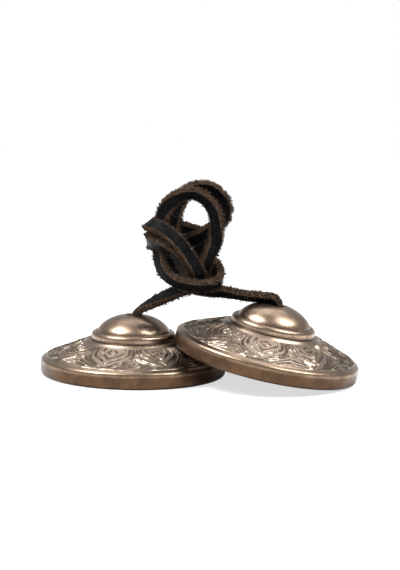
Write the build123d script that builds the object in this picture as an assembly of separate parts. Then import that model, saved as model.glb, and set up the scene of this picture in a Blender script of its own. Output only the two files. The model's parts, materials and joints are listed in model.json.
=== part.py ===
from build123d import *
import math
import os

# A pair of tingsha: two cast bronze cymbals on one leather strap, in millimetres, +Z up.
# The left cymbal stands flat on the table. The right one leans, its low edge on the table and its
# high edge in the corner between the left one's cone and collar. The origin is on the table, under
# the middle of the pair.

# Where the left cymbal stands, and the direction from it to the right one.
LEFT_AT = (-24.8, 4.5)
RIGHT_BEARING = -10.3
LEAN_GAP = 0.4

# Outside of a cymbal, from the table up.
RIM_RADIUS = 35.0
RIM_HEIGHT = 6.05
LOWER_EDGE_ROUND = 1.5
SHOULDER_ROUND = 2.0
COLLAR_FOOT = 13.6
COLLAR_HEIGHT = 2.9
COLLAR_STEP = 1.6
COLLAR_ROUND = 1.7
DOME_RADIUS = 14.4
DOME_RISE = 8.8
DOME_OVER_COLLAR_FOOT = 0.5

# Underside of a cymbal.
REST_RING_WIDTH = 5.0
CONE_WALL = 2.8
DOME_WALL = 2.7
DISH_STEP = 0.6

# Strap and its hole. The strap is a flat thong, modelled as a round cord of like section.
STRAP_WIDTH = 4.0
STRAP_THICKNESS = 2.3
CORD_DIAMETER = (STRAP_WIDTH + STRAP_THICKNESS) / 2
HOLE_CLEARANCE = 1.3
HOLE_EDGE_ROUND = 0.7

# Stopper knot inside each dome: its girth, height and round, its seat under the hole and its cut tail.
KNOT_RADIUS = 5.0
KNOT_HEIGHT = 7.2
KNOT_ROUND = 3.0
KNOT_SEAT_GAP = 0.3
TAIL_LENGTH = 8.5
TAIL_SLOPE = 50.0
BEND_ROOM = 1.25

# An arc of the strap takes this share of the shorter run beside it.
ARC_SHARE = 0.45
LEAST_SELF_GAP = 0.4

# The strap's route, hole to hole, in the order that the leather runs.
RISE_FROM_LEFT_HOLE = [
    (-24.8, 4.5, 22.7), (-24.0, 4.5, 24.5), (-21.0, 4.5, 26.5), (-17.0, 4.5, 28.0), (-12.0, 6.0, 30.0),
]
BEHIND_AND_BACK = [
    (-7.0, 8.0, 32.5), (-1.5, 10.0, 35.5), (3.5, 10.5, 39.0), (7.0, 8.5, 41.0), (9.5, 4.0, 40.5),
    (10.0, -1.0, 38.5), (7.5, -5.5, 36.5),
]
UNDER_THE_FRONT = [
    (2.5, -8.5, 35.5), (-3.0, -9.5, 36.0), (-8.5, -9.5, 37.5), (-13.0, -6.5, 41.5), (-15.5, -3.0, 47.0),
]
FRONT_LOOP = [
    (-15.5, -1.5, 53.5), (-15.5, -1.0, 59.5), (-13.5, -0.5, 65.5), (-9.0, -0.5, 69.5), (-3.5, -0.5, 71.0),
    (2.0, -0.5, 68.5), (6.0, -1.0, 63.5), (7.0, -1.0, 57.5), (6.0, -1.5, 51.0), (3.5, -1.5, 45.5),
]
INNER_FOLD = [
    (1.5, -1.2, 42.0), (0.0, -0.7, 39.0), (-0.6, 0.5, 37.2), (-0.3, 2.4, 36.1), (0.6, 4.3, 36.3),
    (1.9, 5.5, 37.5),
]
UP_THE_BACK = [
    (3.5, 5.7, 40.0), (5.5, 4.8, 44.0), (5.5, 7.3, 48.0), (2.0, 11.0, 51.0), (-3.0, 12.5, 54.5),
    (-9.0, 12.0, 56.5), (-14.5, 9.5, 57.5),
]
UPPER_WRAP = [
    (-19.0, 6.0, 57.5), (-21.0, 0.5, 57.5), (-19.0, -4.5, 57.5), (-14.0, -7.5, 56.0), (-9.0, -8.5, 52.5),
    (-4.5, -8.0, 48.0), (-1.5, -6.5, 43.5),
]
TUCKED_FOLD = [
    (-0.4, -5.4, 40.3), (-0.1, -4.9, 38.1), (-1.2, -4.5, 36.3), (-3.1, -4.5, 35.6), (-5.0, -4.7, 36.2),
    (-6.2, -5.0, 37.9), (-6.9, -5.4, 40.2),
]
LOWER_WRAP = [
    (-8.0, -6.5, 43.5), (-11.5, -7.5, 47.5), (-16.0, -7.0, 50.0), (-19.5, -3.5, 51.0), (-21.0, 1.5, 51.0),
    (-19.0, 7.0, 50.0),
]
ACROSS_THE_BACK = [
    (-14.5, 9.5, 49.0), (-8.5, 10.0, 49.5), (-3.0, 8.5, 52.0), (2.5, 7.0, 55.5),
]
BACK_LOOP = [
    (7.5, 6.5, 57.5), (11.0, 7.0, 61.0), (11.0, 7.5, 65.5), (8.0, 8.0, 70.0), (2.5, 8.0, 72.5),
    (-3.0, 7.5, 71.5), (-7.0, 6.5, 67.5), (-9.5, 5.5, 62.5), (-11.0, 4.0, 56.5),
]
DOWN_AND_OUT = [
    (-12.0, 3.0, 51.5), (-12.5, 1.5, 46.5), (-11.0, 0.5, 41.0), (-7.0, 0.0, 36.5), (-1.5, -0.8, 33.5),
    (4.0, -0.5, 33.0), (9.5, -1.5, 33.5),
]
OVER_TO_RIGHT_HOLE = [
    (14.5, -2.5, 33.0), (19.5, -4.0, 32.5), (24.0, -5.0, 32.5), (27.2, -5.1, 32.6), (28.7, -5.2, 31.7),
    (29.5, -5.3, 30.1), (29.1, -5.3, 28.2),
]

# Worked out from the sizes above.
HOLE_RADIUS = CORD_DIAMETER / 2 + HOLE_CLEARANCE
COLLAR_RADIUS = DOME_RADIUS + COLLAR_STEP
DOME_CENTRE = COLLAR_FOOT + DOME_OVER_COLLAR_FOOT
INNER_RADIUS = DOME_RADIUS - DOME_WALL
INNER_RISE = DOME_RISE - DOME_WALL


def height_on_dome(radius, wide, rise):
    """Height of a dome's elliptical skin at a radius."""
    return DOME_CENTRE + rise * math.sqrt(1 - (radius / wide) ** 2)


def angle_on_dome(radius, wide):
    return math.degrees(math.acos(radius / wide))


def cymbal_profile():
    """Half section of a cymbal, radius along X and height along Y."""
    collar_top = COLLAR_FOOT + COLLAR_HEIGHT
    hole_top = height_on_dome(HOLE_RADIUS, DOME_RADIUS, DOME_RISE)
    hole_bottom = height_on_dome(HOLE_RADIUS, INNER_RADIUS, INNER_RISE)
    dome_foot_radius = DOME_RADIUS * math.sqrt(1 - ((collar_top - DOME_CENTRE) / DOME_RISE) ** 2)
    dome_foot_angle = angle_on_dome(dome_foot_radius, DOME_RADIUS)
    with BuildSketch() as section:
        with BuildLine():
            Polyline((HOLE_RADIUS, hole_bottom), (HOLE_RADIUS, hole_top))
            EllipticalCenterArc(
                (0, DOME_CENTRE), DOME_RADIUS, DOME_RISE, dome_foot_angle,
                arc_size=angle_on_dome(HOLE_RADIUS, DOME_RADIUS) - dome_foot_angle,
            )
            Polyline(
                (dome_foot_radius, collar_top),
                (COLLAR_RADIUS, collar_top),
                (COLLAR_RADIUS, COLLAR_FOOT),
                (RIM_RADIUS, RIM_HEIGHT),
                (RIM_RADIUS, 0),
                (RIM_RADIUS - REST_RING_WIDTH, 0),
                (INNER_RADIUS + DISH_STEP, COLLAR_FOOT - CONE_WALL),
                (INNER_RADIUS, DOME_CENTRE),
            )
            EllipticalCenterArc(
                (0, DOME_CENTRE), INNER_RADIUS, INNER_RISE, 0,
                arc_size=angle_on_dome(HOLE_RADIUS, INNER_RADIUS),
            )
        make_face()

        def corner(radius, height):
            return section.vertices().sort_by_distance((radius, height))[0]

        fillet(corner(RIM_RADIUS, 0), LOWER_EDGE_ROUND)
        fillet(corner(RIM_RADIUS, RIM_HEIGHT), SHOULDER_ROUND)
        fillet(corner(COLLAR_RADIUS, collar_top), COLLAR_ROUND)
        fillet(corner(HOLE_RADIUS, hole_top), HOLE_EDGE_ROUND)
        fillet(corner(HOLE_RADIUS, hole_bottom), HOLE_EDGE_ROUND)
    return section.sketch


def cymbal():
    """One cast cymbal standing on the origin, its axis along Z."""
    return revolve(Plane.XZ * cymbal_profile(), Axis.Z)


def stopper_knot(neck_top):
    """Strap end hanging in a cymbal at the origin: neck, knot and tail as one solid."""
    seat_radius = HOLE_RADIUS + HOLE_EDGE_ROUND
    seat_height = height_on_dome(seat_radius, INNER_RADIUS, INNER_RISE)
    past_flat = max(seat_radius - (KNOT_RADIUS - KNOT_ROUND), 0)
    fall_of_round = KNOT_ROUND - math.sqrt(KNOT_ROUND**2 - past_flat**2)
    knot_centre = seat_height - KNOT_SEAT_GAP + fall_of_round - KNOT_HEIGHT / 2
    body = Pos(0, 0, knot_centre) * Cylinder(KNOT_RADIUS, KNOT_HEIGHT)
    body = fillet(body.edges().filter_by(GeomType.CIRCLE), KNOT_ROUND)
    neck = extrude(Plane.XY.offset(knot_centre) * Circle(CORD_DIAMETER / 2), neck_top - knot_centre)
    slope = math.radians(TAIL_SLOPE)
    down_and_out = Plane((0, 0, knot_centre), z_dir=(math.cos(slope), 0, -math.sin(slope)))
    tail = extrude(down_and_out * Circle(CORD_DIAMETER / 2), TAIL_LENGTH)
    return body + neck + tail


def leaning_place():
    """Place of a cymbal that leans on the left one: its lower edge round, at the high side, keeps
    LEAN_GAP from the left one's cone and collar, and at the low side lies on the table."""
    reach = LOWER_EDGE_ROUND + LEAN_GAP
    slope = math.atan2(COLLAR_FOOT - RIM_HEIGHT, RIM_RADIUS - COLLAR_RADIUS)
    high_height = COLLAR_FOOT - reach * math.tan(slope) + reach / math.cos(slope)
    across = 2 * (RIM_RADIUS - LOWER_EDGE_ROUND)
    tilt = math.asin((high_height - LOWER_EDGE_ROUND) / across)
    spacing = COLLAR_RADIUS + reach + across / 2 * math.cos(tilt) - LOWER_EDGE_ROUND * math.sin(tilt)
    lift = (high_height + LOWER_EDGE_ROUND) / 2 - LOWER_EDGE_ROUND * math.cos(tilt)
    toward_right = Pos(*LEFT_AT, 0) * Rot(0, 0, RIGHT_BEARING)
    return toward_right * Pos(spacing, 0, lift) * Rot(0, math.degrees(tilt), 0)


def arc_radii(points):
    """Radius of the arc at each inner point: as large as its two runs allow."""
    radii = []
    for before, here, after in zip(points, points[1:], points[2:]):
        run_in = Vector(*here) - Vector(*before)
        run_out = Vector(*after) - Vector(*here)
        half_turn = math.radians(run_in.get_angle(run_out)) / 2
        radii.append(ARC_SHARE * min(run_in.length, run_out.length) / math.tan(half_turn))
    return radii


def strap_tube(name, points):
    """Round cord along a stretch of the route: straight runs joined by tangent arcs."""
    radii = arc_radii(points)
    path = FilletPolyline(*points, radius=radii)
    start = Plane(path @ 0, z_dir=path % 0)
    tube = sweep(start * Circle(CORD_DIAMETER / 2), path=path)
    expected = math.pi * CORD_DIAMETER**2 / 4 * path.length
    print(f"{name}: {path.length:.1f} mm long, volume {tube.volume:.1f} of {expected:.1f} mm3")
    print(f"{name}: arc radii", " ".join(f"{radius:.1f}" for radius in radii))
    return tube, path


def least_self_gap(path):
    """Least gap between stretches of one cord that are more than a few diameters apart along it."""
    step = CORD_DIAMETER / 6
    count = int(path.length / step)
    spots = [path.position_at(k / count) for k in range(count + 1)]
    apart = int(4 * CORD_DIAMETER / step)
    nearest = min(
        (spots[i] - spots[j]).length for i in range(len(spots)) for j in range(i + apart, len(spots))
    )
    return nearest - CORD_DIAMETER


def halfway(a, b):
    return tuple((p + q) / 2 for p, q in zip(a, b))


loops = (
    BEHIND_AND_BACK + UNDER_THE_FRONT + FRONT_LOOP + INNER_FOLD + UP_THE_BACK + UPPER_WRAP + TUCKED_FOLD
    + LOWER_WRAP + ACROSS_THE_BACK + BACK_LOOP + DOWN_AND_OUT
)
# The leads meet the bundle face to face, halfway along the run between them.
left_meeting = halfway(RISE_FROM_LEFT_HOLE[-1], loops[0])
right_meeting = halfway(loops[-1], OVER_TO_RIGHT_HOLE[0])
left_lead, _ = strap_tube("left_lead", RISE_FROM_LEFT_HOLE + [left_meeting])
strap_loops, loops_path = strap_tube("strap_loops", [left_meeting] + loops + [right_meeting])
right_lead, _ = strap_tube("right_lead", [right_meeting] + OVER_TO_RIGHT_HOLE)
self_gap = least_self_gap(loops_path)
print(f"strap_loops: least gap to itself {self_gap:.2f} mm, wanted over {LEAST_SELF_GAP}")

# Each neck stops short of the strap's bend, where the leather flexes.
left_place = Pos(*LEFT_AT, 0)
right_place = leaning_place()
left_bend = (Vector(*RISE_FROM_LEFT_HOLE[0]) - left_place.position).length
right_bend = (Vector(*OVER_TO_RIGHT_HOLE[-1]) - right_place.position).length
print("right cymbal: foot", right_place.position, "axis", Plane(right_place).z_dir)

nodes = {
    "left_cymbal": left_place * cymbal(),
    "right_cymbal": right_place * cymbal(),
    "left_knot": left_place * stopper_knot(left_bend - BEND_ROOM),
    "right_knot": right_place * stopper_knot(right_bend - BEND_ROOM),
    "left_lead": left_lead,
    "strap_loops": strap_loops,
    "right_lead": right_lead,
}
os.makedirs("parts", exist_ok=True)
for name, shape in nodes.items():
    export_step(shape, f"parts/{name}.step")
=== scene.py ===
import json
import math

import bpy
import numpy as np
from mathutils import Matrix, Vector, noise


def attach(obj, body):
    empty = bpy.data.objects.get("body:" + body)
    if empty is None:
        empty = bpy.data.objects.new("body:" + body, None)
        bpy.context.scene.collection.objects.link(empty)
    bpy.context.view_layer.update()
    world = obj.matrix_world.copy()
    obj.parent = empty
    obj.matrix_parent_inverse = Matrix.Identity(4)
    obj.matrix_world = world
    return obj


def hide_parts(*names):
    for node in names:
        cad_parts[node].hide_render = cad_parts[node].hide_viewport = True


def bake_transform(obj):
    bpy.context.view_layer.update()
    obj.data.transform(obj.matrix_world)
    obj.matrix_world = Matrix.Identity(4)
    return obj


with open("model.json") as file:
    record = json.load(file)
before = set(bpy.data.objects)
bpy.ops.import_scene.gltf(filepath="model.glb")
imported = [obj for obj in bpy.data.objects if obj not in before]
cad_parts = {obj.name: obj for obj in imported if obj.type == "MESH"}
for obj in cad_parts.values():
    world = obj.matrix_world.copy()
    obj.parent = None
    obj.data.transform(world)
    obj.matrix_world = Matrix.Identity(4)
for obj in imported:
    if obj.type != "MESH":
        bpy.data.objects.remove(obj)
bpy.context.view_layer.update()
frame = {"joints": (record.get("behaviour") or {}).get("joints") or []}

# The two cymbals
# Each is one bronze casting with a ring of eight lotus petals in low relief on its cone. Dome, collar and
# rim are turned smooth, and the crown is drilled for the strap. Age has browned the metal, most of all in
# the sunk parts, and handling keeps the ridges and the shoulder bright.
RIM_RADIUS = 0.035
RIM_HEIGHT = 0.00605
LOWER_EDGE_ROUND = 0.0015
SHOULDER_ROUND = 0.0014
COLLAR_FOOT = 0.0136
COLLAR_TOP = 0.0165
COLLAR_RADIUS = 0.016
COLLAR_ROUND = 0.0017
COLLAR_GROOVE = 0.0006
COLLAR_GROOVE_SIDES = (0.0001, 0.0003)
DOME_RADIUS = 0.0144
DOME_RISE = 0.0088
DOME_CENTRE = 0.0141
REST_RING_WIDTH = 0.005
CONE_WALL = 0.0028
DOME_WALL = 0.0027
DISH_STEP = 0.0006
HOLE_RADIUS = 0.002875
HOLE_EDGE_ROUND = 0.0007
HOLE_EDGE_GAP = 0.0003
CONE_START_GAP = 0.00005
FOOT_BAND_AT = 0.0174
FOOT_BAND_WIDTH = 0.0008
FOOT_BAND_RISE = 0.00035
BORDER_LINE = 0.0324
BORDER_FADE = 0.0005
SHARP_TURN_DEGREES = 20
PATINA_REACH = 0.00060
AROUND = 544
CONE_ROWS = 110

CONE_SLOPE = math.atan2(COLLAR_FOOT - RIM_HEIGHT, RIM_RADIUS - COLLAR_RADIUS)
SHOULDER_AT = (
    RIM_RADIUS - SHOULDER_ROUND,
    RIM_HEIGHT + SHOULDER_ROUND * math.tan(CONE_SLOPE) - SHOULDER_ROUND / math.cos(CONE_SLOPE),
)
CONE_EDGE = SHOULDER_AT[0] + SHOULDER_ROUND * math.sin(CONE_SLOPE)


def arc(centre, radius, first, last, steps):
    """Points of a round corner of the section, from one angle in degrees to another."""
    angles = np.radians(np.linspace(first, last, steps))
    return np.stack([centre[0] + radius * np.cos(angles), centre[1] + radius * np.sin(angles)], axis=1)


def dome_skin(wide, rise, first, last, steps):
    """Points of a dome's elliptical skin from one radius to another."""
    radii = np.linspace(first, last, steps)
    return np.stack([radii, DOME_CENTRE + rise * np.sqrt(1 - (radii / wide) ** 2)], axis=1)


def straight(first, last, steps):
    """Points of a straight stretch of the section, without its two ends."""
    share = np.linspace(0, 1, steps + 2)[1:-1, None]
    return np.array(first) * (1 - share) + np.array(last) * share


def cone_height(radius):
    return COLLAR_FOOT - (radius - COLLAR_RADIUS) * math.tan(CONE_SLOPE)


def foot_band(radius):
    """Swell of the plain band round the collar's foot, 0 to 1."""
    return np.exp(-((radius - FOOT_BAND_AT) / FOOT_BAND_WIDTH) ** 2)


def cymbal_section():
    """Closed half section of a cymbal as (radius, height) rows, from the hole over the rim and back under,
    with the zone of each row: 0 dome and collar, 1 petals, 2 shoulder, 3 rim, 4 underside."""
    collar_turn = (COLLAR_RADIUS - COLLAR_ROUND, COLLAR_TOP - COLLAR_ROUND)
    inner_radius = DOME_RADIUS - DOME_WALL
    inner_rise = DOME_RISE - DOME_WALL
    edge_reach = HOLE_RADIUS + HOLE_EDGE_ROUND
    outer_edge = dome_skin(DOME_RADIUS, DOME_RISE, edge_reach, edge_reach, 1)[0] - (0, HOLE_EDGE_ROUND)
    inner_edge = dome_skin(inner_radius, inner_rise, edge_reach, edge_reach, 1)[0] + (0, HOLE_EDGE_ROUND)
    dome_foot = DOME_RADIUS * math.sqrt(1 - ((COLLAR_TOP - DOME_CENTRE) / DOME_RISE) ** 2)
    groove = [(dome_foot + side, COLLAR_TOP - COLLAR_GROOVE) for side in COLLAR_GROOVE_SIDES]
    cone_radii = np.linspace(COLLAR_RADIUS + CONE_START_GAP, CONE_EDGE, CONE_ROWS)
    cone_heights = cone_height(cone_radii) + FOOT_BAND_RISE * foot_band(cone_radii)
    dish_top = (inner_radius + DISH_STEP, COLLAR_FOOT - CONE_WALL)
    rest_ring = RIM_RADIUS - REST_RING_WIDTH
    stretches = [
        (arc(outer_edge, HOLE_EDGE_ROUND, 180, 98, 4), 0),
        (dome_skin(DOME_RADIUS, DOME_RISE, edge_reach + HOLE_EDGE_GAP, dome_foot, 16), 0),
        (np.array(groove), 0),
        (arc(collar_turn, COLLAR_ROUND, 96, 0, 11), 0),
        (straight((COLLAR_RADIUS, collar_turn[1]), (COLLAR_RADIUS, COLLAR_FOOT), 3), 0),
        (np.stack([cone_radii, cone_heights], axis=1), 1),
        (arc(SHOULDER_AT, SHOULDER_ROUND, 83 - math.degrees(CONE_SLOPE), 0, 9), 2),
        (straight((RIM_RADIUS, SHOULDER_AT[1]), (RIM_RADIUS, LOWER_EDGE_ROUND), 3), 3),
        (arc((RIM_RADIUS - LOWER_EDGE_ROUND, LOWER_EDGE_ROUND), LOWER_EDGE_ROUND, 0, -90, 6), 3),
        (np.array([(rest_ring, 0)]), 3),
        (straight((rest_ring, 0), dish_top, 4), 4),
        (np.array([dish_top]), 4),
        (dome_skin(inner_radius, inner_rise, inner_radius, edge_reach + HOLE_EDGE_GAP, 8), 4),
        (arc(inner_edge, HOLE_EDGE_ROUND, -98, -180, 3), 4),
    ]
    rows = np.concatenate([points for points, zone in stretches])
    zones = np.concatenate([[zone] * len(points) for points, zone in stretches])
    return rows, zones


def mesh_piece(name, verts, faces, values=(), edges=()):
    """A smooth mesh object, with named values on its points."""
    mesh = bpy.data.meshes.new(name)
    mesh.from_pydata(verts, edges, faces)
    mesh.polygons.foreach_set("use_smooth", [True] * len(faces))
    for key, numbers in dict(values).items():
        mesh.attributes.new(key, "FLOAT", "POINT").data.foreach_set("value", np.asarray(numbers, np.float32))
    mesh.update()
    piece = bpy.data.objects.new(name, mesh)
    bpy.context.collection.objects.link(piece)
    return piece


def looped_faces(rows, columns, closed_rows):
    """Quads of a grid of points whose columns close on themselves, and its rows too if asked."""
    row = np.arange(rows if closed_rows else rows - 1)[:, None]
    column = np.arange(columns)[None, :]
    next_row = (row + 1) % rows
    next_column = (column + 1) % columns
    corners = (row * columns + column, next_row * columns + column,
               next_row * columns + next_column, row * columns + next_column)
    return np.stack(np.broadcast_arrays(*corners), axis=-1).reshape(-1, 4).tolist()


def inner_corners(rows, along):
    """1 in the sharp inner corners of the section, where patina gathers, falling to 0 away from them."""
    legs = np.diff(rows, axis=0)
    ways = np.degrees(np.arctan2(legs[:, 1], legs[:, 0]))
    turns = (np.diff(ways) + 180) % 360 - 180
    corners = along[1:-1][turns > SHARP_TURN_DEGREES]
    return np.exp(-((along[:, None] - corners[None, :]) / PATINA_REACH) ** 2).max(axis=1)


def turned_cymbal(name):
    """The plain cymbal on its own axis, standing on the origin."""
    rows, zones = cymbal_section()
    along = np.concatenate([[0], np.cumsum(np.linalg.norm(np.diff(rows, axis=0), axis=1))])
    angle = 2 * math.pi * np.arange(AROUND) / AROUND
    ring = np.stack([np.cos(angle), np.sin(angle)], axis=1)
    verts = np.empty((len(rows), AROUND, 3))
    verts[:, :, :2] = rows[:, 0, None, None] * ring
    verts[:, :, 2] = rows[:, 1, None]
    inside_border = np.clip((BORDER_LINE + BORDER_FADE - rows[:, 0]) / BORDER_FADE, 0, 1)
    on_petals = (zones == 1) * (1 - foot_band(rows[:, 0])) * inside_border
    on_rim = (zones == 3).astype(float)
    on_rim[zones == 2] = np.linspace(0, 1, (zones == 2).sum())
    values = {
        "petals": on_petals, "shoulder": zones == 2, "rim": on_rim, "turned": along,
        "crease": inner_corners(rows, along),
    }
    values = {key: np.repeat(numbers, AROUND) for key, numbers in values.items()}
    return mesh_piece(name, verts.reshape(-1, 3).tolist(), looped_faces(len(rows), AROUND, True), values)


# The petals' lines: outlines drawn in to a point and echoed inwards, the petals behind showing between the
# tips, an eye in each petal and a plain line at the border.
PETALS = 8
HALF_PETAL = math.pi / PETALS
STEM_TOP = 0.0194
PETAL_ECHOES = (
    (0.0326, 0.925), (0.0292, 0.76), (0.0263, 0.49), (0.0333, 1.12), (0.0339, 1.6), (0.0346, 2.4),
)
PETAL_FULL_SHARE = 0.14
PETAL_DRAW_IN = 1.4
EYE_AT = 0.0215
EYE_SIZE = (0.0015, 0.0012)
LINE_STEPS = 44


def drawn_in(share):
    """Width of a petal from where it is fullest to its tip: round first, then hollow."""
    return (1 + np.cos(math.pi * np.clip(share, 0, 1) ** PETAL_DRAW_IN)) / 2


def petal_lines():
    """Lines of one petal as lists of (azimuth, radius): its outline, the echoes inside it, those that show
    between it and the next petals, the stem's top, the eye and the border."""
    lines = []
    for tip, width in PETAL_ECHOES:
        radii = np.linspace(STEM_TOP, tip, LINE_STEPS)
        fullest = STEM_TOP + PETAL_FULL_SHARE * (tip - STEM_TOP)
        side = width * drawn_in((radii - fullest) / (tip - fullest))
        shown = (side <= 1) & (radii <= max(BORDER_LINE, PETAL_ECHOES[0][0]))
        for hand in (1, -1):
            lines.append(list(zip(hand * HALF_PETAL * side[shown], radii[shown])))
    stem_half = 1 - PETAL_ECHOES[0][1]
    for hand in (1, -1):
        lines.append([(hand * HALF_PETAL * share, STEM_TOP) for share in (1 - stem_half, 1)])
    turns = np.linspace(0, 2 * math.pi, LINE_STEPS)
    wide, long = EYE_SIZE
    lines.append(list(zip(wide / EYE_AT * np.sin(turns), EYE_AT + long * np.cos(turns))))
    lines.append([(azimuth, BORDER_LINE) for azimuth in np.linspace(-HALF_PETAL, HALF_PETAL, LINE_STEPS)])
    return lines


def petal_line_mesh():
    """The lines of one petal as edges lying on the cone."""
    verts = []
    edges = []
    for line in petal_lines():
        first = len(verts)
        for azimuth, radius in line:
            verts.append((radius * math.cos(azimuth), radius * math.sin(azimuth), cone_height(radius)))
        edges += [(k, k + 1) for k in range(first, len(verts) - 1)]
    return mesh_piece("petal_lines", verts, [], edges=edges)


class Socket:
    """A socket in a node tree. Arithmetic on it adds Math nodes, and add() adds any other node."""

    def __init__(self, tree, socket=None):
        self.tree = tree
        self.socket = socket

    def add(self, kind, settings=(), inputs=(), output=0):
        """A new node with its settings, such as an operation, then its inputs."""
        node = self.tree.nodes.new(kind)
        for key, value in dict(settings).items():
            setattr(node, key, value)
        for key, value in dict(inputs).items():
            if isinstance(value, Socket):
                self.tree.links.new(value.socket, node.inputs[key])
            else:
                node.inputs[key].default_value = value
        return Socket(self.tree, node.outputs[output])

    def maths(self, operation, *values, clamp=False):
        return self.add("ShaderNodeMath", {"operation": operation, "use_clamp": clamp}, enumerate(values))

    def __add__(self, other):
        return self.maths("ADD", self, other)

    def __radd__(self, other):
        return self.maths("ADD", other, self)

    def __sub__(self, other):
        return self.maths("SUBTRACT", self, other)

    def __rsub__(self, other):
        return self.maths("SUBTRACT", other, self)

    def __mul__(self, other):
        return self.maths("MULTIPLY", self, other)

    def __rmul__(self, other):
        return self.maths("MULTIPLY", other, self)

    def __truediv__(self, other):
        return self.maths("DIVIDE", self, other)

    def __rtruediv__(self, other):
        return self.maths("DIVIDE", other, self)

    def __pow__(self, other):
        return self.maths("POWER", self, other)

    def __rpow__(self, other):
        return self.maths("POWER", other, self)

    def clamped(self):
        return self.maths("ADD", self, 0, clamp=True)

    def step(self, low, high):
        """0 below low, 1 above high, smooth between."""
        return self.add("ShaderNodeMapRange", {"interpolation_type": "SMOOTHSTEP"},
                        {"Value": self, "From Min": low, "From Max": high})

    def mix(self, first, second):
        """One colour to another by this share."""
        return self.add("ShaderNodeMix", {"data_type": "RGBA"}, {0: self, 6: first, 7: second}, output=2)


def geometry_tree(name, inputs):
    """An empty geometry tree with named inputs, and a socket for the geometry and for each of them."""
    tree = bpy.data.node_groups.new(name, "GeometryNodeTree")
    tree.interface.new_socket("Geometry", in_out="INPUT", socket_type="NodeSocketGeometry")
    for key, kind in inputs:
        tree.interface.new_socket(key, in_out="INPUT", socket_type=kind)
    tree.interface.new_socket("Geometry", in_out="OUTPUT", socket_type="NodeSocketGeometry")
    given = tree.nodes.new("NodeGroupInput")
    return tree, [Socket(tree, socket) for socket in given.outputs if socket.name]


def bake_nodes(piece, tree, values):
    """Gives the piece the tree's result as its plain mesh."""
    modifier = piece.modifiers.new(tree.name, "NODES")
    modifier.node_group = tree
    for item in tree.interface.items_tree:
        if item.in_out == "INPUT" and item.name in values:
            modifier[item.identifier] = values[item.name]
    bpy.context.view_layer.update()
    evaluated = piece.evaluated_get(bpy.context.evaluated_depsgraph_get())
    mesh = bpy.data.meshes.new_from_object(evaluated)
    piece.modifiers.remove(modifier)
    plain = piece.data
    piece.data = mesh
    bpy.data.meshes.remove(plain)


RIDGE_HEIGHT = 0.00037
RIDGE_WIDTH = 0.00029
GROUND_SINK = 0.00016
HAND_WOBBLE = 0.00090
WOBBLE_SCALE = 260
NATURAL_BASE = 2.718
MILLIMETRES = 1000


def petal_relief_tree(material):
    """Repeats one petal's lines round the cone and raises the metal along them."""
    tree, (shape, lines, ridge_height, ridge_width, ground_sink, wobble) = geometry_tree("petal_relief", [
        ("Petal lines", "NodeSocketObject"), ("Ridge height", "NodeSocketFloat"),
        ("Ridge width", "NodeSocketFloat"), ("Ground sink", "NodeSocketFloat"), ("Wobble", "NodeSocketFloat"),
    ])
    node = Socket(tree).add
    petal = node("GeometryNodeObjectInfo", (), {"Object": lines}, output="Geometry")
    spots = node("GeometryNodeMeshLine", (), {"Count": PETALS, "Offset": (0, 0, 0)})
    turn = node("GeometryNodeInputIndex") * (2 * HALF_PETAL)
    round_axis = node("ShaderNodeCombineXYZ", (), {"Z": turn})
    ring = node("GeometryNodeInstanceOnPoints", (), {
        "Points": spots, "Instance": petal, "Rotation": round_axis})
    ring = node("GeometryNodeRealizeInstances", (), {"Geometry": ring})
    place = node("GeometryNodeInputPosition")
    drift = node("ShaderNodeTexNoise", {"noise_dimensions": "3D"}, {
        "Vector": place, "Scale": WOBBLE_SCALE, "Detail": 1}, "Color")
    drift = node("ShaderNodeVectorMath", {"operation": "SUBTRACT"}, {0: drift, 1: (0.5, 0.5, 0.5)})
    drift = node("ShaderNodeVectorMath", {"operation": "SCALE"}, {0: drift, "Scale": wobble})
    hand_place = node("ShaderNodeVectorMath", {"operation": "ADD"}, {0: place, 1: drift})
    away = node("GeometryNodeProximity", {"target_element": "EDGES"}, {
        0: ring, "Sample Position": hand_place}, "Distance")
    ridge = NATURAL_BASE ** (0 - (away / ridge_width) ** 2)
    petals = node("GeometryNodeInputNamedAttribute", {"data_type": "FLOAT"}, {"Name": "petals"})
    rise = (ridge * (ridge_height + ground_sink) - ground_sink) * petals
    outward = node("GeometryNodeInputNormal")
    offset = node("ShaderNodeVectorMath", {"operation": "SCALE"}, {0: outward, "Scale": rise})
    shape = node("GeometryNodeSetPosition", (), {"Geometry": shape, "Offset": offset})
    shape = node("GeometryNodeStoreNamedAttribute", {"data_type": "FLOAT", "domain": "POINT"},
                 {"Geometry": shape, "Name": "from_line", "Value": away * MILLIMETRES})
    shape = node("GeometryNodeRealizeInstances", (), {"Geometry": shape})
    shape = node("GeometryNodeSetMaterial", (), {"Geometry": shape, "Material": material})
    tree.links.new(shape.socket, tree.nodes.new("NodeGroupOutput").inputs[0])
    return tree


def new_finish(name):
    """A new material, a socket of its tree that nodes are added from, and its shader."""
    material = bpy.data.materials.new(name)
    material.use_nodes = True
    shader = material.node_tree.nodes["Principled BSDF"]
    return material, Socket(material.node_tree), shader


def feed(finish, shader, inputs):
    """Links what varies into a shader's sockets, and sets what doesn't."""
    for key, value in inputs.items():
        if isinstance(value, Socket):
            finish.tree.links.new(value.socket, shader.inputs[key])
        else:
            shader.inputs[key].default_value = value


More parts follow.
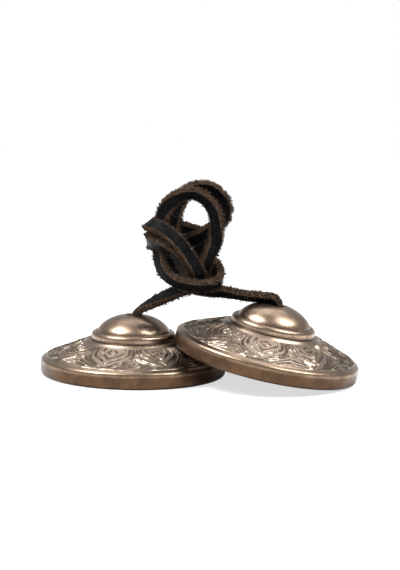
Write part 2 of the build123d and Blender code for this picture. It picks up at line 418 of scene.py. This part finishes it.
DOME_BROWN = (0.330, 0.240, 0.174, 1)
DOME_TARNISH = (0.205, 0.144, 0.102, 1)
# The rim's browns are painted far darker than the dome's: painted shade for the dim room that its upright
# face mirrors, over the rim's own browner tone.
RIM_BROWN_WITH_PAINTED_SHADE = (0.096, 0.055, 0.031, 1)
RIM_TARNISH_WITH_PAINTED_SHADE = (0.066, 0.039, 0.024, 1)
PETAL_GREY = (0.285, 0.225, 0.178, 1)
SUNK_BROWN = (0.045, 0.033, 0.025, 1)
WORN_BRIGHT = (0.92, 0.80, 0.66, 1)
SHOULDER_GOLD = (0.33, 0.245, 0.172, 1)
CLOUD_SCALE = 170
SPECK_SCALE = 1300
LATHE_SCALE = 7000
TARNISH_STEP = (0.36, 0.66)
RIDGE_TOP_MM = (0.14, 0.30)
LINE_FOOT_START_MM = (0.22, 0.32)
LINE_FOOT_END_MM = (0.40, 0.66)
SUNK_SPECKS = (0.2, 0.55)
WORN_CLOUDS = (0.40, 0.60)
BRONZE_ROUGHNESS = 0.27


def aged_bronze():
    material, finish, shader = new_finish("aged_bronze")
    node = finish.add
    place = node("ShaderNodeTexCoord", output="Object")
    from_line, petals, shoulder, rim, turned, crease = (
        node("ShaderNodeAttribute", {"attribute_name": key}, output="Fac")
        for key in ("from_line", "petals", "shoulder", "rim", "turned", "crease")
    )
    clouds = node("ShaderNodeTexNoise", (), {
        "Vector": place, "Scale": CLOUD_SCALE, "Detail": 5, "Roughness": 0.62})
    specks = node("ShaderNodeTexNoise", (), {
        "Vector": place, "Scale": SPECK_SCALE, "Detail": 4, "Roughness": 0.65})
    lathe = node("ShaderNodeTexNoise", {"noise_dimensions": "1D"}, {
        "W": turned, "Scale": LATHE_SCALE, "Detail": 3})
    tarnish = (clouds + 0.35 * (specks - 0.5)).step(*TARNISH_STEP)
    line_foot = from_line.step(*LINE_FOOT_START_MM) * (1 - from_line.step(*LINE_FOOT_END_MM))
    sunk = petals * line_foot * specks.step(*SUNK_SPECKS)
    worn = petals * (1 - from_line.step(*RIDGE_TOP_MM)) * (0.4 + 0.6 * clouds.step(*WORN_CLOUDS))
    colour = tarnish.mix(DOME_BROWN, DOME_TARNISH)
    # Painted shade: the rim, and the shoulder towards it, take the darker rim browns, which stand in for the
    # dim room that the rim mirrors.
    colour = rim.mix(colour, tarnish.mix(RIM_BROWN_WITH_PAINTED_SHADE, RIM_TARNISH_WITH_PAINTED_SHADE))
    colour = (petals * (1 - 0.5 * tarnish)).mix(colour, PETAL_GREY)
    colour = (0.85 * sunk).mix(colour, SUNK_BROWN)
    colour = worn.mix(colour, WORN_BRIGHT)
    colour = (shoulder * (0.55 - 0.35 * tarnish)).mix(colour, SHOULDER_GOLD)
    colour = (crease * (0.70 + 0.35 * specks)).clamped().mix(colour, SUNK_BROWN)
    roughness = BRONZE_ROUGHNESS + 0.08 * tarnish + 0.06 * rim + 0.06 * petals
    roughness = roughness + 0.14 * sunk - 0.08 * worn + 0.10 * (specks - 0.5)
    grain = specks * 0.6 + lathe * 0.5 * (1 - petals)
    bump = node("ShaderNodeBump", (), {"Strength": 0.10, "Distance": 0.0001, "Height": grain})
    feed(finish, shader, {"Base Color": colour, "Metallic": 1.0, "Roughness": roughness, "Normal": bump})
    return material


LEFT_PETAL_TURN = math.radians(-90 + 26)
RIGHT_PETAL_TURN = math.radians(-90 + 37.5)


def on_its_axis(spin_joint, stand_height, turn):
    """Place of a cymbal whose axis is a joint's: its foot's middle at a height, turned about the axis."""
    joint = next(joint for joint in frame["joints"] if joint["name"] == spin_joint)
    axis = Vector(joint["axis"]).normalized()
    on_axis = Vector(joint["pos_m"])
    foot = on_axis - axis * ((on_axis.z - stand_height) / axis.z)
    lean = Vector((0, 0, 1)).rotation_difference(axis).to_matrix().to_4x4()
    return Matrix.Translation(foot) @ lean @ Matrix.Rotation(turn, 4, "Z")


bronze = aged_bronze()
petal_tree = petal_relief_tree(bronze)
petal_line_piece = petal_line_mesh()
right_axis = Vector(next(joint["axis"] for joint in frame["joints"] if joint["name"] == "right_cymbal_spin"))
lean_angle = right_axis.angle(Vector((0, 0, 1)))
edge_circle = RIM_RADIUS - LOWER_EDGE_ROUND
right_stand = edge_circle * math.sin(lean_angle) + LOWER_EDGE_ROUND * (1 - math.cos(lean_angle))
cymbal_stands = (("left_cymbal", 0, LEFT_PETAL_TURN), ("right_cymbal", right_stand, RIGHT_PETAL_TURN))
for name, stand, turn in cymbal_stands:
    cymbal = turned_cymbal(name + "_bronze")
    bake_nodes(cymbal, petal_tree, {
        "Petal lines": petal_line_piece, "Ridge height": RIDGE_HEIGHT, "Ridge width": RIDGE_WIDTH,
        "Ground sink": GROUND_SINK, "Wobble": HAND_WOBBLE,
    })
    cymbal.data.transform(on_its_axis(name + "_spin", stand, turn))
    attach(cymbal, name)
    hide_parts(name)
bpy.data.objects.remove(petal_line_piece)

# The leather strap
# One flat thong of black leather with its two cut edges left raw, brown and fuzzy. It comes up out of the
# hole in the left cymbal, is tied loosely into loops in the middle, and goes down the hole of the right one.
STRAP_WIDTH = 0.0049
STRAP_THICKNESS = 0.0027
EDGE_ROUND = 0.0005
EDGE_NAP = 0.00055
FLESH_NAP = 0.3
FACE_WAVE = 0.00018
CORNER_WEAR = 0.4
FACE_POINTS = 6
EDGE_POINTS = 8

# Its route, in the order that the leather runs: each point, and the way that the grain side faces there.
LEFT_NECK = [((-0.0248, 0.0045, 0.0192), (1, 0.1, 0))]
RISE_FROM_LEFT_HOLE = [
    ((-0.0245, 0.0045, 0.0224), (0.9, 0, -0.3)), ((-0.0230, 0.0045, 0.0240), (0.7, -0.05, -0.7)),
    ((-0.0201, 0.0045, 0.0260), (0.5, 0.15, -0.8)), ((-0.0165, 0.0045, 0.0278), (0.35, 0.45, -0.75)),
    ((-0.012, 0.006, 0.0299), (0.2, 0.6, -0.7)),
]
BEHIND_AND_BACK = [
    ((-0.007, 0.008, 0.0318), (0.2, 0.7, -0.6)), ((-0.0015, 0.01, 0.0338), (0.1, 0.9, -0.4)),
    ((0.0035, 0.0105, 0.0372), (0, 1, -0.1)), ((0.0050, 0.0085, 0.0408), (0.5, 0.8, 0)),
    ((0.0062, 0.004, 0.0418), (1, 0.2, 0)), ((0.0080, -0.001, 0.0385), (0.9, -0.3, -0.3)),
    ((0.0062, -0.0055, 0.0366), (0.5, -0.7, -0.6)),
]
UNDER_THE_FRONT = [
    ((0.0022, -0.0085, 0.0358), (0.1, -0.7, -0.7)), ((-0.0035, -0.0095, 0.0361), (0, -0.7, -0.7)),
    ((-0.0093, -0.0095, 0.0373), (-0.3, -0.7, -0.6)), ((-0.0143, -0.0065, 0.0409), (-0.5, -0.8, -0.4)),
    ((-0.0158, -0.0018, 0.047), (-0.7, -0.7, -0.1)),
]
FRONT_LOOP = [
    ((-0.0149, -0.0008, 0.0535), (-0.6, -0.8, 0)), ((-0.0148, -0.001, 0.0595), (-0.6, -0.8, 0)),
    ((-0.0131, -0.0005, 0.0648), (-0.3, -0.8, -0.5)), ((-0.009, -0.0005, 0.0686), (-0.1, -0.75, -0.65)),
    ((-0.0035, -0.0005, 0.0701), (0, -0.75, -0.65)), ((0.0015, -0.0005, 0.0677), (-0.4, -0.8, -0.5)),
    ((0.0052, -0.001, 0.063), (-0.6, -0.8, -0.1)), ((0.0062, -0.001, 0.0572), (-0.5, -0.85, 0)),
    ((0.0054, -0.0015, 0.051), (0.4, -0.9, 0)), ((0.0028, -0.0015, 0.0455), (0.6, -0.75, 0)),
]
INNER_FOLD = [
    ((0.0013, -0.0012, 0.042), (0.6, -0.8, 0)), ((0.0, -0.0007, 0.039), (0.3, -0.9, -0.2)),
    ((-0.0006, 0.0005, 0.0372), (0, -0.7, -0.7)), ((-0.0003, 0.0024, 0.0361), (0, -0.1, -1)),
    ((0.0006, 0.0043, 0.0363), (0, 0.6, -0.8)), ((0.0019, 0.0055, 0.0375), (0.3, 0.8, -0.5)),
]
UP_THE_BACK = [
    ((0.0014, 0.006, 0.0393), (0.3, 0.8, -0.4)), ((-0.0007, 0.0062, 0.0423), (0.1, 1, 0)),
    ((-0.0009, 0.0072, 0.0468), (0, 1, 0)), ((0.0025, 0.0094, 0.0514), (0, 0.95, 0.2)),
    ((-0.0025, 0.0115, 0.0538), (0, 0.85, 0.5)), ((-0.008, 0.0125, 0.0555), (-0.1, 0.7, 0.7)),
    ((-0.014, 0.0098, 0.0573), (-0.4, 0.5, 0.8)),
]
UPPER_WRAP = [
    ((-0.0176, 0.006, 0.0575), (-0.6, 0.3, 0.7)), ((-0.0195, 0.0005, 0.0575), (-0.6, -0.2, 0.7)),
    ((-0.0179, -0.0045, 0.0577), (-0.4, -0.6, 0.7)), ((-0.0138, -0.0075, 0.0565), (0, -0.75, 0.6)),
    ((-0.009, -0.0085, 0.0529), (0.2, -0.8, 0.55)), ((-0.0055, -0.0083, 0.0483), (0.4, -0.8, 0.4)),
    ((-0.0026, -0.0068, 0.0438), (0.5, -0.8, 0.2)),
]
TUCKED_FOLD = [
    ((-0.0008, -0.0054, 0.0406), (0.4, -0.9, 0)), ((-0.0005, -0.0049, 0.0385), (0.6, -0.7, -0.3)),
    ((-0.0013, -0.0045, 0.0367), (0.5, -0.5, -0.7)), ((-0.0029, -0.0045, 0.036), (0, -0.4, -0.9)),
    ((-0.0044, -0.0047, 0.0366), (-0.6, -0.5, -0.7)), ((-0.0053, -0.005, 0.0383), (-0.85, -0.5, -0.1)),
    ((-0.0056, -0.0054, 0.0406), (-0.85, -0.5, -0.2)),
]
LOWER_WRAP = [
    ((-0.0067, -0.0056, 0.0442), (-0.7, -0.5, -0.5)), ((-0.0103, -0.0062, 0.0482), (-0.4, -0.5, -0.8)),
    ((-0.0148, -0.0063, 0.0506), (-0.3, -0.6, -0.75)), ((-0.0182, -0.0035, 0.0517), (-0.8, -0.4, -0.5)),
    ((-0.0195, 0.0015, 0.0518), (-0.9, 0.1, -0.3)), ((-0.0185, 0.007, 0.0495), (-0.7, 0.7, 0)),
]
ACROSS_THE_BACK = [
    ((-0.0145, 0.0085, 0.0488), (-0.2, 0.95, 0.2)), ((-0.0085, 0.0075, 0.0492), (0, 0.95, 0.2)),
    ((-0.003, 0.006, 0.0512), (-0.1, 0.9, 0.4)), ((0.0025, 0.006, 0.0547), (-0.2, 0.8, 0.5)),
]
BACK_LOOP = [
    ((0.007, 0.0062, 0.0575), (-0.1, 0.9, 0.2)), ((0.0091, 0.007, 0.0613), (0.1, 1, 0)),
    ((0.009, 0.0075, 0.065), (0.2, 1, 0.1)), ((0.0064, 0.008, 0.0686), (0.3, 0.85, 0.3)),
    ((0.0022, 0.008, 0.0713), (0, 0.85, 0.4)), ((-0.0035, 0.0075, 0.0708), (-0.2, 0.8, 0.4)),
    ((-0.0079, 0.0065, 0.067), (0, 0.9, 0.2)), ((-0.0096, 0.0055, 0.062), (0.3, 0.9, 0)),
    ((-0.0102, 0.004, 0.0565), (0.5, 0.8, 0)),
]
DOWN_AND_OUT = [
    ((-0.0113, 0.003, 0.0515), (0.5, 0.8, 0)), ((-0.012, 0.0015, 0.0465), (0.4, 0.9, 0)),
    ((-0.011, 0.0005, 0.041), (0.3, 0.9, 0.2)), ((-0.007, 0.0, 0.0365), (0.3, 0.8, 0.4)),
    ((-0.0015, -0.0008, 0.0335), (0.1, 0.8, 0.6)), ((0.004, -0.0005, 0.033), (0, 0.8, 0.6)),
    ((0.0095, -0.0015, 0.0328), (0, 0.7, 0.7)),
]
OVER_TO_RIGHT_HOLE = [
    ((0.0145, -0.0025, 0.0320), (0.1, 0.6, 0.8)), ((0.0195, -0.004, 0.0316), (0.1, 0.6, 0.8)),
    ((0.0235, -0.005, 0.0316), (0.1, 0.5, 0.8)), ((0.026, -0.0051, 0.0315), (0.4, 0.5, 0.7)),
    ((0.0276, -0.0052, 0.0308), (0.6, 0.6, 0.5)), ((0.0286, -0.0053, 0.0296), (0.8, 0.6, 0.2)),
    ((0.0289, -0.0053, 0.0280), (0.8, 0.6, 0)),
]
RIGHT_NECK = [((0.0285, -0.0052, 0.0248), (0.8, 0.6, 0))]
COURSE = (
    LEFT_NECK + RISE_FROM_LEFT_HOLE + BEHIND_AND_BACK + UNDER_THE_FRONT + FRONT_LOOP + INNER_FOLD
    + UP_THE_BACK + UPPER_WRAP + TUCKED_FOLD + LOWER_WRAP + ACROSS_THE_BACK + BACK_LOOP
    + DOWN_AND_OUT + OVER_TO_RIGHT_HOLE + RIGHT_NECK
)
GUIDE_REACH = 0.003
STEPS_PER_POINT = 16
SPLINE_ORDER = 3
NAP_SCALE = 2600
WAVE_SCALE = 420


def smooth_line(points):
    """Points along the NURBS spline that has these control points."""
    curve = bpy.data.curves.new("line", "CURVE")
    curve.dimensions = "3D"
    spline = curve.splines.new("NURBS")
    spline.points.add(len(points) - 1)
    for slot, point in zip(spline.points, points):
        slot.co = (*point, 1)
    spline.order_u = SPLINE_ORDER
    spline.use_endpoint_u = True
    spline.resolution_u = STEPS_PER_POINT
    holder = bpy.data.objects.new("line", curve)
    bpy.context.collection.objects.link(holder)
    bpy.context.view_layer.update()
    mesh = bpy.data.meshes.new_from_object(holder.evaluated_get(bpy.context.evaluated_depsgraph_get()))
    line = np.array([vertex.co[:] for vertex in mesh.vertices])
    bpy.data.objects.remove(holder)
    bpy.data.curves.remove(curve)
    bpy.data.meshes.remove(mesh)
    return line


def unit(vectors):
    return vectors / np.linalg.norm(vectors, axis=-1, keepdims=True)


def thong_along(course):
    """Centre line of a flat thong, with its grain side's direction and its width's at each point."""
    line = smooth_line([point for point, grain in course])
    guides = [Vector(point) + GUIDE_REACH * Vector(grain).normalized() for point, grain in course]
    along = unit(np.gradient(line, axis=0))
    grain = smooth_line(guides) - line
    grain = unit(grain - (grain * along).sum(1)[:, None] * along)
    return line, grain, np.cross(along, grain)


def thong_section(width, thickness):
    """Outline of a thong's cross section: (across, out of the grain side, how raw the leather is there)."""
    flat = width / 2 - EDGE_ROUND
    outline = []
    for side in (1, -1):
        for across in np.linspace(flat, -flat, FACE_POINTS):
            worn = CORNER_WEAR if abs(across) == flat else FLESH_NAP * (side < 0)
            outline.append((side * across, side * thickness / 2, worn))
        for angle in np.radians(90 - np.linspace(0, 180, EDGE_POINTS)[1:-1]):
            edge = flat + EDGE_ROUND * math.cos(angle)
            outline.append((-side * edge, side * thickness / 2 * math.sin(angle), 1))
    return outline


def thong_piece(name, line, grain, across, width, thickness):
    """A length of the thong with its ends closed, its raw edges uneven with nap and its faces wavy."""
    outline = np.array(thong_section(width, thickness))
    verts = []
    for centre, out, side in zip(line, grain, across):
        for x, y, raw in outline:
            at = Vector(centre + x * side + y * out)
            nap = raw * EDGE_NAP * noise.noise(at * NAP_SCALE)
            wave = (1 - raw) * FACE_WAVE * noise.noise(at * WAVE_SCALE)
            verts.append(at + Vector(np.sign(x) * nap * side + np.sign(y) * wave * out))
    count = len(outline)
    last = (len(line) - 1) * count
    first_cap = list(range(count))
    last_cap = list(range(last + count - 1, last - 1, -1))
    faces = looped_faces(len(line), count, False) + [first_cap, last_cap]
    return mesh_piece(name, verts, faces, {"raw": np.tile(outline[:, 2], len(line))})


BLACK_GRAIN = (0.0018, 0.0018, 0.0020, 1)
RUBBED_GRAIN = (0.010, 0.011, 0.014, 1)
RAW_BROWN = (0.135, 0.087, 0.058, 1)
RAW_DARK = (0.016, 0.011, 0.008, 1)
PEBBLE_SCALE = 2200
CREASE_SCALE = 900
FUZZ_SCALE = 1700
RUBBED_STEP = (0.5, 0.72)
RAW_EDGE_STEP = (0.45, 0.75)
SUEDE_STEP = (0.34, 0.66)


def black_leather():
    material, finish, shader = new_finish("black_leather")
    node = finish.add
    place = node("ShaderNodeTexCoord", output="Object")
    raw = node("ShaderNodeAttribute", {"attribute_name": "raw"}, output="Fac")
    pebbles = node("ShaderNodeTexVoronoi", {"feature": "F1"}, {
        "Vector": place, "Scale": PEBBLE_SCALE}, "Distance")
    creases = node("ShaderNodeTexNoise", (), {
        "Vector": place, "Scale": CREASE_SCALE, "Detail": 4, "Roughness": 0.6})
    fuzz = node("ShaderNodeTexNoise", (), {
        "Vector": place, "Scale": FUZZ_SCALE, "Detail": 4, "Roughness": 0.7})
    rubbed = creases.step(*RUBBED_STEP)
    edge = (raw + (creases - 0.5) * 0.9).step(*RAW_EDGE_STEP)
    face = rubbed.mix(BLACK_GRAIN, RUBBED_GRAIN)
    suede = fuzz.step(*SUEDE_STEP).mix(RAW_DARK, RAW_BROWN)
    roughness = 0.50 + 0.12 * rubbed + 0.40 * edge - 0.10 * pebbles
    height = pebbles * 0.5 * (1 - edge) + creases * 0.6 + fuzz * edge * 1.2
    bump = node("ShaderNodeBump", (), {"Strength": 0.5, "Distance": 0.0003, "Height": height})
    feed(finish, shader, {
        "Base Color": edge.mix(face, suede), "Roughness": roughness.clamped(), "Normal": bump,
        "Specular IOR Level": 0.045,
    })
    return material


FIBRE_LENGTH = 0.00110
FIBRE_THICKNESS = 0.00013
FIBRES_PER_SQUARE_METRE = 4.4e6
FIBRE_SEED = 7
FIBRE_BROWN = (0.086, 0.054, 0.035, 1)
FIBRE_BLACK = (0.016, 0.010, 0.007, 1)
FIBRE_MIDDLE = (0.12, 0.55)
FIBRE_TIP = (0.45, 0.85)
FIBRE_TAPER = 0.8
FIBRE_STEPS = 3
FIBRE_SIDES = 3
FIBRE_STRAY = 0.55
FIBRE_SIZES = (0.25, 1.1)
RAW_ENOUGH = 0.8
TUFT_SCALE = 1900
TUFT_STEP = (0.40, 0.62)


def raw_fibres():
    material, finish, shader = new_finish("raw_fibres")
    node = finish.add
    place = node("ShaderNodeTexCoord", output="Object")
    tufts = node("ShaderNodeTexNoise", (), {"Vector": place, "Scale": TUFT_SCALE, "Detail": 2})
    feed(finish, shader, {
        "Base Color": tufts.step(*TUFT_STEP).mix(FIBRE_BLACK, FIBRE_BROWN), "Roughness": 0.95,
        "Specular IOR Level": 0.1,
    })
    return material


def fibre_tree(material):
    """Scatters short bent fibres over the raw edges of a length of thong."""
    tree, (shape, density, length, thickness, seed) = geometry_tree("edge_fibres", [
        ("Density", "NodeSocketFloat"), ("Length", "NodeSocketFloat"), ("Thickness", "NodeSocketFloat"),
        ("Seed", "NodeSocketInt"),
    ])
    node = Socket(tree).add
    raw = node("GeometryNodeInputNamedAttribute", {"data_type": "FLOAT"}, {"Name": "raw"})
    on_edges = node("FunctionNodeCompare", {"data_type": "FLOAT", "operation": "GREATER_THAN"}, {
        0: raw, 1: RAW_ENOUGH})
    scatter = tree.nodes.new("GeometryNodeDistributePointsOnFaces")
    for key, value in {"Mesh": shape, "Selection": on_edges, "Density": density, "Seed": seed}.items():
        tree.links.new(value.socket, scatter.inputs[key])
    middle, tip = (
        node("ShaderNodeCombineXYZ", (), {"X": length * sideways, "Z": length * up})
        for sideways, up in (FIBRE_MIDDLE, FIBRE_TIP)
    )
    bent = node("GeometryNodeCurveQuadraticBezier", (), {
        "Resolution": FIBRE_STEPS, "Start": (0, 0, 0), "Middle": middle, "End": tip})
    taper = 1 - FIBRE_TAPER * node("GeometryNodeSplineParameter")
    bent = node("GeometryNodeSetCurveRadius", (), {"Curve": bent, "Radius": taper})
    girth = node("GeometryNodeCurvePrimitiveCircle", (), {"Resolution": FIBRE_SIDES, "Radius": thickness})
    fibre = node("GeometryNodeCurveToMesh", (), {"Curve": bent, "Profile Curve": girth, "Fill Caps": True})
    stray = node("FunctionNodeRandomValue", {"data_type": "FLOAT_VECTOR"}, {
        0: (-FIBRE_STRAY,) * 3, 1: (FIBRE_STRAY,) * 3, "Seed": seed})
    outward = Socket(tree, scatter.outputs["Normal"])
    lean = node("ShaderNodeVectorMath", {"operation": "ADD"}, {0: outward, 1: stray})
    turn = node("FunctionNodeAlignRotationToVector", {"axis": "Z"}, {"Vector": lean})
    smallest, largest = FIBRE_SIZES
    size = node("FunctionNodeRandomValue", {"data_type": "FLOAT"}, {
        2: smallest, 3: largest, "Seed": seed}, output=1)
    roots = Socket(tree, scatter.outputs["Points"])
    strewn = node("GeometryNodeInstanceOnPoints", (), {
        "Points": roots, "Instance": fibre, "Rotation": turn, "Scale": size})
    strewn = node("GeometryNodeRealizeInstances", (), {"Geometry": strewn})
    strewn = node("GeometryNodeSetMaterial", (), {"Geometry": strewn, "Material": material})
    tree.links.new(strewn.socket, tree.nodes.new("NodeGroupOutput").inputs[0])
    return tree


strap_line, strap_grain, strap_across = thong_along(COURSE)
leather = black_leather()
fibres_tree = fibre_tree(raw_fibres())

# The strap is made in two lengths that meet in the tucked fold.
MEETING = (-0.0029, -0.0045, 0.0360)
LEFT_BEND = ("left_knot", "strap", (-0.0248, 0.0045, 0.0212), (-0.0225, 0.0045, 0.0258))
RIGHT_BEND = ("strap", "right_knot", (0.0284, -0.0053, 0.0304), (0.0288, -0.0053, 0.0266))
meeting = int(np.linalg.norm(strap_line - np.array(MEETING), axis=1).argmin())
left_part = slice(0, meeting + 1)
right_part = slice(meeting, len(strap_line))
for side, part, bend in (("left", left_part, LEFT_BEND), ("right", right_part, RIGHT_BEND)):
    thong = thong_piece(f"strap_{side}_half", strap_line[part], strap_grain[part], strap_across[part],
                        STRAP_WIDTH, STRAP_THICKNESS)
    thong.data.materials.append(leather)
    fibres = bpy.data.objects.new(f"strap_{side}_fibres", thong.data.copy())
    bpy.context.collection.objects.link(fibres)
    bake_nodes(fibres, fibres_tree, {
        "Density": FIBRES_PER_SQUARE_METRE, "Length": FIBRE_LENGTH, "Thickness": FIBRE_THICKNESS,
        "Seed": FIBRE_SEED,
    })
    for piece in (thong, fibres):
        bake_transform(piece)
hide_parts("left_lead", "strap_loops")
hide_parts("right_lead")

# The stopper knots
# Each end of the strap is tied in an overhand knot inside its cymbal, pulled tight, with a short cut tail.
# It is too big for the hole, so the cymbal hangs on it.
KNOT_CENTRE = 0.01646
KNOT_WIDTH = 0.0034
KNOT_THICKNESS = 0.0022
KNOT_TURN_UNIT = 0.00112
KNOT_TURN_RISE = 0.0017
KNOT_POINTS = 22
KNOT_OPENING = 0.35
KNOT_NECK = [((0, 0, 0.0034), (0.8, 0.6, 0)), ((0.0003, 0.0002, 0.0026), (0.8, 0.6, 0.2))]
KNOT_TAIL = [
    ((0.0033, -0.0008, -0.0022), (0.8, -0.2, 0.6)), ((0.0042, 0, -0.0042), (0.8, 0, 0.6)),
    ((0.0054, 0.0001, -0.0062), (0.8, 0, 0.6)),
]


def knot_course():
    """Route of an overhand knot about its middle: a trefoil that opens into the neck and the tail."""
    course = list(KNOT_NECK)
    for t in np.linspace(KNOT_OPENING, 2 * math.pi - KNOT_OPENING, KNOT_POINTS):
        reach = KNOT_TURN_UNIT * (2 + math.cos(3 * t))
        facing = (math.cos(2 * t), math.sin(2 * t), 0)
        point = (reach * facing[0], reach * facing[1], KNOT_TURN_RISE * math.sin(3 * t))
        course.append((point, facing))
    return course + KNOT_TAIL


def stopper_knot(side, stand, turn):
    """The knot inside one cymbal, on the cymbal's axis."""
    place = on_its_axis(side + "_cymbal_spin", stand, turn)
    line, grain, across = thong_along(knot_course())
    knot = thong_piece(side + "_overhand_knot", line, grain, across, KNOT_WIDTH, KNOT_THICKNESS)
    knot.data.materials.append(leather)
    knot.data.transform(place @ Matrix.Translation((0, 0, KNOT_CENTRE)))
    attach(knot, side + "_knot")
    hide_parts(side + "_knot")
    return knot


left_knot = stopper_knot("left", 0, 0)
right_knot = stopper_knot("right", right_stand, math.atan2(right_axis.y, right_axis.x))

# Table and light
# A plain white table top under the pair, with a soft box high on each side, a wide soft panel overhead,
# towards the back, and a pale room round them.
TABLE_HALF = 1.0
TABLE_TOP = -0.00005
TABLE_WHITE = (0.82, 0.82, 0.82, 1)
SEEN_GLOW = 0.66
SEEN_SHADE = 0.46
MIRRORED_GLOW = 0.08
MIRRORED_SHADE = 0.86
ROOM_GREY = (0.42, 0.42, 0.42, 1)
ROOM_WHITE = (1, 1, 1, 1)
HORIZON_STEP = (0.06, 0.30)


def white_table():
    material, finish, shader = new_finish("white_table")
    feed(finish, shader, {"Base Color": TABLE_WHITE, "Roughness": 0.9})
    node = finish.add
    path = finish.tree.nodes.new("ShaderNodeLightPath")
    seen, mirrored, through = (
        Socket(finish.tree, path.outputs[key])
        for key in ("Is Camera Ray", "Is Glossy Ray", "Is Transmission Ray")
    )
    surface = Socket(finish.tree, shader.outputs[0])
    for share, glow, shade in (
        ((mirrored + through).clamped(), MIRRORED_GLOW, MIRRORED_SHADE), (seen, SEEN_GLOW, SEEN_SHADE),
    ):
        light = node("ShaderNodeEmission", (), {"Color": (1, 1, 1, 1), "Strength": glow})
        lit = node("ShaderNodeBsdfDiffuse", (), {"Color": (shade, shade, shade, 1)})
        white = node("ShaderNodeAddShader", (), {0: light, 1: lit})
        surface = node("ShaderNodeMixShader", (), {0: share, 1: surface, 2: white})
    output = finish.tree.nodes["Material Output"]
    finish.tree.links.new(surface.socket, output.inputs["Surface"])
    return material


corners = [(x * TABLE_HALF, y * TABLE_HALF, TABLE_TOP) for x, y in ((-1, -1), (1, -1), (1, 1), (-1, 1))]
table = mesh_piece("table", corners, [(0, 1, 2, 3)])
table.data.materials.append(white_table())

world = bpy.data.worlds.new("pale_room")
bpy.context.scene.world = world
world.use_nodes = True
room = Socket(world.node_tree)
way_up = room.add("ShaderNodeSeparateXYZ", (), {0: room.add("ShaderNodeTexCoord", output="Generated")}, "Z")
path = world.node_tree.nodes.new("ShaderNodeLightPath")
from_camera = Socket(world.node_tree, path.outputs["Is Camera Ray"])
near_horizon = 1 - way_up.step(*HORIZON_STEP)
white_share = (from_camera + near_horizon).clamped()
room_colour = white_share.mix(ROOM_GREY, ROOM_WHITE)
background = world.node_tree.nodes["Background"]
world.node_tree.links.new(room_colour.socket, background.inputs["Color"])
background.inputs["Strength"].default_value = 1.0


def soft_box(name, azimuth, elevation, distance, size, power):
    """A soft lamp that faces the pair. Its azimuth counts in degrees from the camera's side to the right."""
    lamp = bpy.data.lights.new(name, "AREA")
    lamp.shape = "RECTANGLE"
    lamp.size, lamp.size_y = size
    lamp.energy = power
    holder = bpy.data.objects.new(name, lamp)
    turn = math.radians(azimuth)
    rise = math.radians(elevation)
    way = Vector((math.sin(turn) * math.cos(rise), -math.cos(turn) * math.cos(rise), math.sin(rise)))
    holder.location = way * distance
    holder.rotation_euler = way.to_track_quat("Z", "Y").to_euler()
    bpy.context.collection.objects.link(holder)


soft_box("soft_box_left", azimuth=-72, elevation=58, distance=0.9, size=(0.50, 0.42), power=11)
soft_box("soft_box_right", azimuth=80, elevation=56, distance=0.9, size=(0.50, 0.42), power=8)
soft_box("overhead_panel", azimuth=180, elevation=62, distance=1.1, size=(0.9, 0.6), power=3)

# Camera
# It stands at the photograph's angle and frames the pair as the photograph does.
VIEW_ELEVATION = math.radians(9.62)
VIEW_ROLL = math.radians(1.084)
VIEW_DISTANCE = 0.8
VIEW_TARGET = Vector((0.00036, 0.0045, 0.015))
PHOTO_HEIGHT_PX = 570
FOCAL_PX = 2111.2
AXIS_BELOW_MIDDLE_PX = 50.5
view_right = Vector((1, 0, 0))
view_up = Vector((0, math.sin(VIEW_ELEVATION), math.cos(VIEW_ELEVATION)))
view_back = Vector((0, -math.cos(VIEW_ELEVATION), math.sin(VIEW_ELEVATION)))
rolled_right = view_right * math.cos(VIEW_ROLL) + view_up * math.sin(VIEW_ROLL)
rolled_up = view_up * math.cos(VIEW_ROLL) - view_right * math.sin(VIEW_ROLL)
camera_data = bpy.data.cameras.new("camera")
camera_data.lens = FOCAL_PX * camera_data.sensor_width / PHOTO_HEIGHT_PX
camera_data.shift_y = AXIS_BELOW_MIDDLE_PX / PHOTO_HEIGHT_PX
camera = bpy.data.objects.new("camera", camera_data)
camera.matrix_world = Matrix.Translation(VIEW_TARGET + VIEW_DISTANCE * view_back) @ Matrix(
    (rolled_right, rolled_up, view_back)).transposed().to_4x4()
bpy.context.collection.objects.link(camera)
bpy.context.scene.camera = camera
bpy.context.scene.view_settings.view_transform = "Standard"
